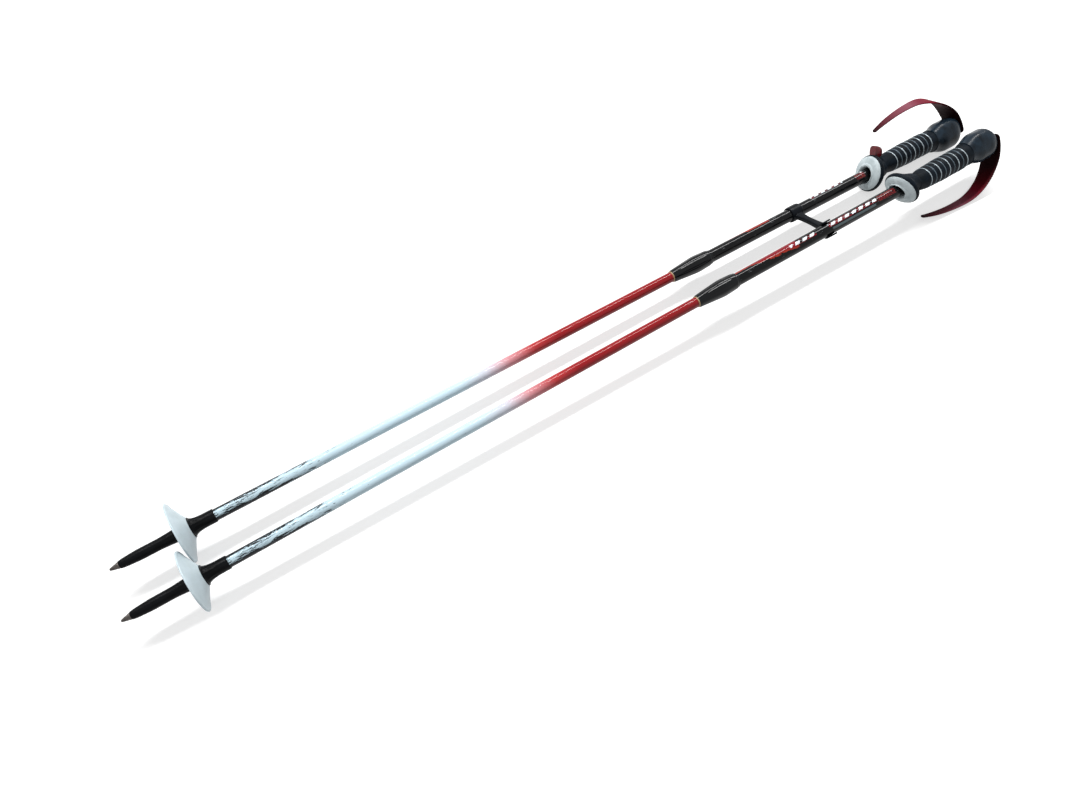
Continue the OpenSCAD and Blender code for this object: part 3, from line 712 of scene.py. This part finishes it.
def makeTubes(side):
    t = tubeShape
    addTube(side, "LowerTube", "_lower_tube", "_lower", t["lowerR"], t["lowerBore"], "lowerTube")
    addTube(side, "UpperTube", "_upper_tube", "_upper", t["upperR"], t["upperBore"], side + "UpperTube")

    s = sleeveShape
    first, last = spanOf(side, "lock_sleeve")
    span = last - first
    path = soften([[first + 8, s["bushR"], 0.1], [first, s["bushR"], 0.2], [first, s["mouth"] - 0.8, 0.2],
                   [first + 2, s["mouth"], 1.2], [first + span * 0.42, s["belly"] - 1.2, 14.0],
                   [first + span * 0.62, s["belly"], 8.0], [first + span * 0.80, s["belly"] - 0.75, 6.0],
                   [last - 4.2, s["top"] + 0.75, 1.5], [last - 3.4, s["top"] + 0.1, 0.4],
                   [last - 0.6, s["top"] - 0.1, 0.5], [last, s["top"] - 0.6, 0.2], [last, s["tubeR"], 0.1],
                   [first + 8, s["tubeR"], 0.1], [first + 8, s["bushR"], 0]])

    def facets(station, angle):
        # long flats round the belly: 1 - depth (1 - |cos(n angle / 2)|) between the mouth and the top
        share = np.clip((station - first) / span, 0, 1)
        fade = np.clip((share - 0.08) / 0.2, 0, 1) * np.clip((0.9 - share) / 0.12, 0, 1)
        return 1 - s["facetDepth"] * fade * (1 - np.abs(np.cos(s["facets"] * angle / 2))) ** 1.6

    addPart(side, "LockSleeve", "_lock_sleeve", "_upper", [turned(refined(path, 1.2), 160, facets)],
            rolls["tube"], "polishedAbs", 50)
    start, end = spanOf(side, "sleeve_bush")
    path = soften([[start, s["bushBore"], 0.1], [start, s["mouth"] - 1.2, 0.3],
                   [start + 1.3, s["mouth"] - 1.0, 0.2], [start + 1.4, s["bushR"], 0.1],
                   [end, s["bushR"], 0.1], [end, s["bushBore"], 0.1], [start, s["bushBore"], 0]])
    addPart(side, "SleeveBush", "_sleeve_bush", "_upper", [turned(path, 72)], rolls["tube"], "mouldedAcetal")


hold = {"plateAt": 1147.0, "plateEnd": 1170.0, "plateEndR": 14.2, "slant": 20.0, "neck": 13.5,
        "from": 1154.0, "widest": 18.0,
        "growth": 70.0, "to": 1274.0, "endR": 17.4, "lift": 2.5, "bore": 9.0, "ridge": 0.085,
        "ringEnd": 1260.0, "ringPitch": 9.0, "rings": 9, "groove": 0.4}
head = {"from": 1274.0, "to": 1330.0, "width": 45.0, "breadth": 37.0, "corner": 24.0, "swell": 0.40,
        "round": 0.36, "power": 2.5, "bore": 9.0, "boreEnd": 1311.0}
disc = {"radius": 24.5, "front": -3.5, "hubR": 16.0}


def holdRadius(station):
    # neck + (widest - neck) sin(90 degrees (station - from) / growth), less soft finger swells 33 mm apart
    s = np.clip((station - hold["from"]) / hold["growth"], 0, 1)
    body = hold["neck"] + (hold["widest"] - hold["neck"]) * np.sin(np.pi / 2 * s)
    ease = np.clip((station - hold["from"] - 20) / 20, 0, 1) * np.clip((hold["to"] - station) / 12, 0, 1)
    end = np.clip((station - hold["to"] + 20) / 20, 0, 1) * (hold["widest"] - hold["endR"])
    return body - end - 0.25 * ease * (1 - np.cos(2 * np.pi * (station - hold["from"]) / 33)) / 2


def holdSection(angle):
    # soft ridges across the guard's plane: 1 - ridge sqrt(sin(angle)^2 + a little)
    return 1 - hold["ridge"] * (np.sqrt(np.sin(angle) ** 2 + 0.004) - 0.063)


def holdLift(station):
    # how far the hold's middle stands off the tube towards the guard, eased over 25 mm, then back over 30
    near, far = smooth((station - hold["from"]) / 25), smooth((head["from"] + 14 - station) / 30)
    return hold["lift"] * near * far


def slanted(station, across, outward, slant):
    # turns points about the plate's middle so that the guard's side leans to the head
    c, s = np.cos(slant), np.sin(slant)
    return np.stack([hold["plateAt"] + station * c + outward * s, across, outward * c - station * s], -1)


def ringGroove(station):
    # depth of the ring grooves: groove exp(-(distance from the ring / 1.15)^4)
    steps = np.clip(np.round((hold["ringEnd"] - station) / hold["ringPitch"]), 0, hold["rings"] - 1)
    away = np.abs(station - (hold["ringEnd"] - steps * hold["ringPitch"]))
    return hold["groove"] * np.exp(-(away / 1.15) ** 4)


def lifted(station, radius, angle):
    # rows of points round the hold's lifted middle
    outward = radius * np.sin(angle) + holdLift(station)
    return np.stack([station + 0 * angle, radius * np.cos(angle), outward], -1)


def makeGrip(side):
    roll, angle = rolls[side + "Grip"], roundAngles(128)
    # plate: [distance from its middle, radius, cut]; then the hold's own stations; then the bore back
    rows = refined(soften([[-3.5, 9.6, 0], [-3.5, 24.9, 0.1], [-3.3, 25.4, 0.3], [-1.6, 26.4, 1.0],
                           [0.6, 26.5, 1.0], [2.8, 25.7, 1.2], [4.6, 22.8, 2.4], [8.4, 18.2, 3.5],
                           [14.0, 14.9, 5.0], [22.0, hold["plateEndR"], 4.0]]), 0.8)
    # the slant and the round section give way to the hold's over 18 and 16 mm
    lean = np.radians(hold["slant"]) * np.clip(1 - (rows[:, 0] - 4) / 18, 0, 1) ** 1.2
    blendIn = np.clip((rows[:, :1] - 6) / 16, 0, 1)
    radius = rows[:, 1:2] * (1 + blendIn * (holdSection(angle) - 1))
    plate = slanted(rows[:, :1] + 0 * angle, radius * np.cos(angle), radius * np.sin(angle), lean[:, None])
    station = np.arange(hold["plateEnd"], hold["to"] + 0.01, 0.4)[:, None]
    merge = np.clip((station - hold["plateEnd"]) / 14, 0, 1)
    plain = holdRadius(station) * merge + hold["plateEndR"] * (1 - merge)
    radius = (plain - ringGroove(station)) * holdSection(angle)
    body = lifted(station, radius, angle)
    bore = turned(np.array([[hold["to"], hold["bore"]], [hold["plateAt"] + 8, hold["bore"]]]), 128)
    addPart(side, "GripBody", "_grip_body", "_upper", [np.concatenate([plate, body, bore, plate[:1]])], roll,
            "mouldedRubber", 45)

    # rings: an oval bead 2 mm wide that follows the hold's section
    turn = np.linspace(0, 2 * np.pi, 13)[:, None]
    rings = []
    for number in range(hold["rings"]):
        at = hold["ringEnd"] - number * hold["ringPitch"]
        reach = (holdRadius(np.array(at)) - 0.22 + 0.42 * np.sin(turn)) * holdSection(angle)
        rings.append(np.stack([at + 0.75 * np.cos(turn) + 0 * angle, reach * np.cos(angle),
                               reach * np.sin(angle) + holdLift(np.array(at))], -1))
    addPart(side, "GripRings", "_grip_rings", "_upper", rings, roll, "rings", 80)

    # pale disc: [distance from the plate's middle, radius, cut]; its hub stays round the straight tube
    front, edge = disc["front"], disc["radius"]
    rows = soften([[front, 10.3, 0], [front - 3.0, 10.6, 0.5], [front - 6.2, 12.0, 0.8],
                   [front - 7.6, 13.2, 0.7], [front - 7.3, 14.2, 0.7], [front - 5.6, 15.4, 1.0],
                   [front - 5.2, 17.0, 1.5], [front - 3.4, 21.5, 4.0], [front - 1.4, edge - 0.8, 0.8],
                   [front - 0.6, edge, 0.4], [front, edge, 0.1], [front, 10.3, 0]])
    share = np.clip((disc["hubR"] - rows[:, 1:2]) / 6, 0, 1)
    radius = rows[:, 1:2] + 0 * angle
    offset = rows[:, :1] * np.tan(np.radians(hold["slant"])) * share
    grid = slanted(rows[:, :1] + 0 * angle, radius * np.cos(angle), radius * np.sin(angle) + offset,
                   np.radians(hold["slant"]))
    addPart(side, "RestDisc", "_rest_disc", "_upper", [grid], roll, "mouldedPolypropylene",
            40)

    # head: half sizes swell by a cosine, stay, then round off by a quarter circle; outline is a superellipse
    s = np.concatenate([np.linspace(0, 0.68, 34), 0.68 + 0.32 * np.sin(np.linspace(0.03, np.pi / 2, 22))])
    s = s[:, None]
    grow = np.where(s < head["swell"], 0.5 - 0.5 * np.cos(np.pi * s / head["swell"]), 1.0)
    drop = 10 * (1 - np.sqrt(np.clip(1 - (np.clip(s - 1 + head["round"], 0, 1) / head["round"]) ** 2, 0, 1)))
    wide = hold["endR"] + (head["width"] / 2 - hold["endR"]) * grow - drop
    broad = hold["endR"] + (head["breadth"] / 2 - hold["endR"]) * grow - drop
    power = 2 + (head["power"] - 2) * grow
    radius = np.minimum(superRound(angle, broad, wide, power), head["corner"])
    station = head["from"] + (head["to"] - head["from"]) * s
    shell = lifted(station, radius, angle)
    shell = np.concatenate([shell] + [shell[-1:] * np.array([1, k, k]) for k in (0.85, 0.6, 0.3, 0.0)])
    # the end is cut back along the strap's inner face, and falls away in a soft dome below the strap
    rise = np.clip(shell[..., 2] / strap["reach"], 0, 0.99)
    inner = strapStart() - strap["run"] * (1 - np.sqrt(1 - rise ** 2)) - strap["thick"] / 2 - 0.05
    away = np.clip(8 - shell[..., 2], 0, 40)
    inner -= np.where(away < 10, 0.03 * away ** 2, 3 + 0.6 * (away - 10))
    shell[..., 0] = np.minimum(shell[..., 0], inner)
    bore = turned(np.array([[head["boreEnd"], 0], [head["boreEnd"], head["bore"]],
                            [head["from"], head["bore"]]]), 128)
    addPart(side, "GripHead", "_grip_head", "_upper", [np.concatenate([bore, shell])], roll, "satinAbs",
            45)


strap = {"reach": 66.0, "run": 78.0, "arcRun": 82.0, "arcDrop": 12.0, "thick": 3.0, "tipThick": 1.8,
         "rootBelow": 7.0, "crown": 0.5, "lean": -32.0,
         "halfAt": (0.0, 0.06, 0.13, 0.22, 0.33, 0.48, 0.65, 0.85, 1.0),
         "half": (16.5, 16.0, 13.6, 11.0, 9.0, 7.2, 6.0, 4.8, 3.2)}
screw = {"from": 1313.0, "shank": 2.5, "headR": 4.9, "headBase": 1.5, "rise": 3.5, "socketR": 1.9}


def strapStart():
    # station of the strap's middle at the head, from the node's box
    return spanOf("right", "hand_guard")[1] - strap["thick"] / 2


def makeGuard(side):
    g, start, roll = strap, strapStart(), rolls[side + "Grip"]
    turnAt = start - g["run"]
    arcR = (g["arcRun"] ** 2 + g["arcDrop"] ** 2) / (2 * g["arcDrop"])
    arcA = np.arcsin(g["arcRun"] / arcR)
    root = np.linspace(-g["rootBelow"], 0, 14)
    quarter = np.linspace(0, np.pi / 2, 70)[1:]
    arc = np.linspace(0, arcA, 70)[1:]
    # middle line: straight root, quarter ellipse of the run and the reach, then a long arc
    line = np.concatenate([
        np.stack([start + 0 * root, root], -1),
        np.stack([turnAt + g["run"] * np.cos(quarter), g["reach"] * np.sin(quarter)], -1),
        np.stack([turnAt - arcR * np.sin(arc), g["reach"] - arcR * (1 - np.cos(arc))], -1)])
    ahead = np.gradient(line, axis=0)
    ahead /= np.linalg.norm(ahead, axis=1, keepdims=True)
    normal = np.stack([ahead[:, 1], -ahead[:, 0]], -1)
    length = g["run"] + g["arcRun"]
    s = np.clip((start + g["thick"] - line[:, 0]) / length, 0, 1)
    half = np.interp(s, g["halfAt"], g["half"])
    run = np.concatenate([[0], np.cumsum(np.linalg.norm(np.diff(line, axis=0), axis=1))])
    # rounded corners at the root and a rounded free end
    for gap, size in ((run, 6.0), (run[-1] - run, 3.0)):
        corner = np.clip(1 - gap / size, 0, 1)
        half = half - np.minimum(size, half) * (1 - np.sqrt(1 - corner ** 2)) * 0.98
    thick = np.interp(s, [0, 0.5, 1], [g["thick"], g["thick"] * 0.85, g["tipThick"]]) / 2
    turn = roundAngles(40)
    c, d = np.cos(turn), np.sin(turn)
    across = half[:, None] * squared(c, 0.5)
    out = thick[:, None] * squared(d, 0.45) * (1 - 0.25 * np.abs(c) ** 4)
    bow = -g["crown"] * (across / (half[:, None] + 1e-6)) ** 2 * np.clip(half[:, None] / 14, 0, 1)
    off = out + bow
    # the band leans out of square as it leaves the head, like a strip cut from a cone
    lean = np.radians(g["lean"]) * smooth((s - 0.04) / 0.36)[:, None]
    flat = off * np.cos(lean) + across * np.sin(lean)
    grid = np.stack([line[:, :1] + normal[:, :1] * flat, across * np.cos(lean) - off * np.sin(lean),
                     line[:, 1:] + normal[:, 1:] * flat], -1)
    addPart(side, "HandGuard", "_hand_guard", "_upper", [capped(grid)], roll, "guard", 40)

    w = screw
    under, top = start + w["headBase"], start + w["rise"]
    path = soften([[w["from"], 0, 0], [w["from"], w["shank"], 0.3], [under, w["shank"], 0.1],
                   [under, w["headR"], 0.2], [start + 2.4, w["headR"] - 0.1, 0.5], [top - 0.1, 3.6, 0.6],
                   [top, w["socketR"], 0.1], [start + 2.5, w["socketR"] - 0.2, 0.2], [start + 2.5, 0, 0]])

    def socket(station, angle):
        # six flats inside the drive socket: 1 - 0.06 (1 - cos(6 angle)) along its depth
        inside = np.abs(station - start - 2.9) < 0.45
        return np.where(inside, 1 - 0.06 * (1 - np.cos(6 * angle)), 1)

    addPart(side, "GuardScrew", "_guard_screw", "_upper", [turned(path, 60, socket)], roll, "platedSteel",
            35)


tab = {"from": 3.9, "depth": 16.0, "low": 20.5, "high": 39.5, "width": 12.0}


def makeTab():
    # rounded lobe behind the left plate: a superellipse that narrows to its crown by powers of a cosine
    rise = np.linspace(0, np.pi / 2, 18)[:, None]
    turn = roundAngles(56)
    middle, half = (tab["low"] + tab["high"]) / 2, (tab["high"] - tab["low"]) / 2
    shrink = np.cos(rise) ** 0.55
    out = middle + half * squared(np.cos(turn), 0.7) * shrink
    across = tab["width"] / 2 * squared(np.sin(turn), 0.7) * np.cos(rise) ** 0.35
    depth = tab["from"] + tab["depth"] * np.sin(rise) + 0 * turn
    grid = slanted(depth, across, out, np.radians(hold["slant"]))
    base = grid[:1].mean(1, keepdims=True) + 0 * grid[:1]
    mesh = meshOf("leftRedTab", [np.concatenate([base, grid])], "left", rolls["leftGrip"], 60)
    addPiece("leftRedTab", mesh, finish["clearRedPlastic"], "left_upper", ["left_red_tab"])


clip = {"cuffR": 11.4, "cuffEndR": 10.9, "cuffBore": 9.02, "jawR": 11.5, "jawWall": 2.3, "jawLength": 13.0,
        "mouthTilt": 27.0, "lip": 7.0, "webFrom": 10.2, "webThick": 4.0, "waist": 0.28, "voxel": 0.42}


def makeClip():
    # cuff on the left tube, open jaw on the right tube and a waisted web; voxels melt the three together
    low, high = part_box("pole_clip")
    leftOrigin, leftAxes = poleSpace("left", 0)
    rightOrigin, rightAxes = poleSpace("right", 0)
    middle = (low.x + high.x) / 2
    leftAt, rightAt = (middle - leftOrigin[0]) / mm, (middle - rightOrigin[0]) / mm
    half = ((high.x - low.x) / mm - 0.3) / 2
    first, last, bore, endR = leftAt - half, leftAt + half, clip["cuffBore"], clip["cuffEndR"]
    path = soften([[first, bore, 0], [first, endR, 0.8], [first + 2.5, clip["cuffR"], 1.5],
                   [last - 2.5, clip["cuffR"], 1.5], [last, endR, 0.8], [last, bore, 0.1], [first, bore, 0]])
    cuff = turned(refined(path, 1.5), 96)

    # jaw: a half ring with two straight sides, mouth turned by mouthTilt
    bend = np.linspace(-np.pi, 0, 49)
    tops = np.linspace(0, clip["lip"], 9)[1:]
    straight = np.stack([1 + 0 * tops, tops / clip["jawR"]], -1)
    line = np.concatenate([(straight * [-1, 1])[::-1], np.stack([np.cos(bend), np.sin(bend)], -1), straight])
    outer, inner = line * clip["jawR"], line * (clip["jawR"] - clip["jawWall"])
    inner[:, 1] = np.where(line[:, 1] > 0, outer[:, 1], inner[:, 1])
    tilt = np.radians(clip["mouthTilt"])
    spin = np.array([[np.cos(tilt), np.sin(tilt)], [-np.sin(tilt), np.cos(tilt)]])
    across, outward = (np.concatenate([inner, outer[::-1]]) @ spin).T
    reach = clip["jawLength"] / 2
    jaw = np.stack([np.stack([rightAt + at + 0 * across, across, -outward], -1) for at in (-reach, reach)])
    # end faces pair each inner point with the outer point across the wall
    total, number = len(across), np.arange(len(inner) - 1)
    ends = np.stack([number, number + 1, total - 2 - number, total - 1 - number], -1)

    # web between the two, waisted in the middle: 1 - waist sin(180 degrees share)^0.8
    start = leftOrigin + np.array([leftAt, 0, 0]) * mm @ leftAxes
    way = rightOrigin + np.array([rightAt, 0, 0]) * mm @ rightAxes - start
    gap = np.linalg.norm(way)
    way /= gap
    t = np.linspace(clip["webFrom"] * mm, gap - clip["webFrom"] * mm, 40)[:, None]
    waist = 1 - clip["waist"] * np.sin(np.pi * (t - t[0]) / (t[-1] - t[0])) ** 0.8
    turn = roundAngles(40)
    along = reach * mm * waist * squared(np.cos(turn), 0.45)
    thick = clip["webThick"] * mm * (0.6 + 0.4 * waist) * squared(np.sin(turn), 0.45)
    web = capped(start + t[..., None] * way + along[..., None] * np.array([1.0, 0, 0]) +
                 thick[..., None] * np.cross([1, 0, 0], way))

    points = [leftOrigin + cuff.reshape(-1, 3) * mm @ leftAxes,
              rightOrigin + jaw.reshape(-1, 3) * mm @ rightAxes, web.reshape(-1, 3)]
    jawFirst = len(points[0])
    faces = [gridFaces(*cuff.shape[:2], 0), gridFaces(2, total, jawFirst), ends + jawFirst,
             ends + total + jawFirst, gridFaces(*web.shape[:2], jawFirst + len(points[1]))]
    rough = bpy.data.meshes.new("clipRough")
    rough.from_pydata(np.concatenate(points).tolist(), [], np.concatenate(faces).tolist())
    cleanMesh(rough, False)
    body = addObject("clipRough", rough)
    melt = body.modifiers.new("melt", "REMESH")
    melt.mode, melt.voxel_size, melt.use_smooth_shade = "VOXEL", clip["voxel"] * mm, True
    ease = body.modifiers.new("ease", "SMOOTH")
    ease.factor, ease.iterations = 0.5, 6
    ready = bpy.data.meshes.new_from_object(body.evaluated_get(bpy.context.evaluated_depsgraph_get()))
    bpy.data.objects.remove(body)
    ready.name = "poleClip"
    ready.shade_smooth()
    markSpace(ready, "left", 0)
    addPiece("poleClip", ready, finish["clipNylon"], "left_upper", ["pole_clip"])


makeBasketFinish()
makeLowerPaint()
makeUpperPaint("right")
makeUpperPaint("left")
makeGuardFinish()
makeRingFinish()
print("finishes ready:", len(finish))
for side in sides:
    makeTipEnd(side)
    makeTubes(side)
    makeGrip(side)
    makeGuard(side)
    print(side, "pole ready")
makeTab()
makeClip()
print("tab and clip ready")
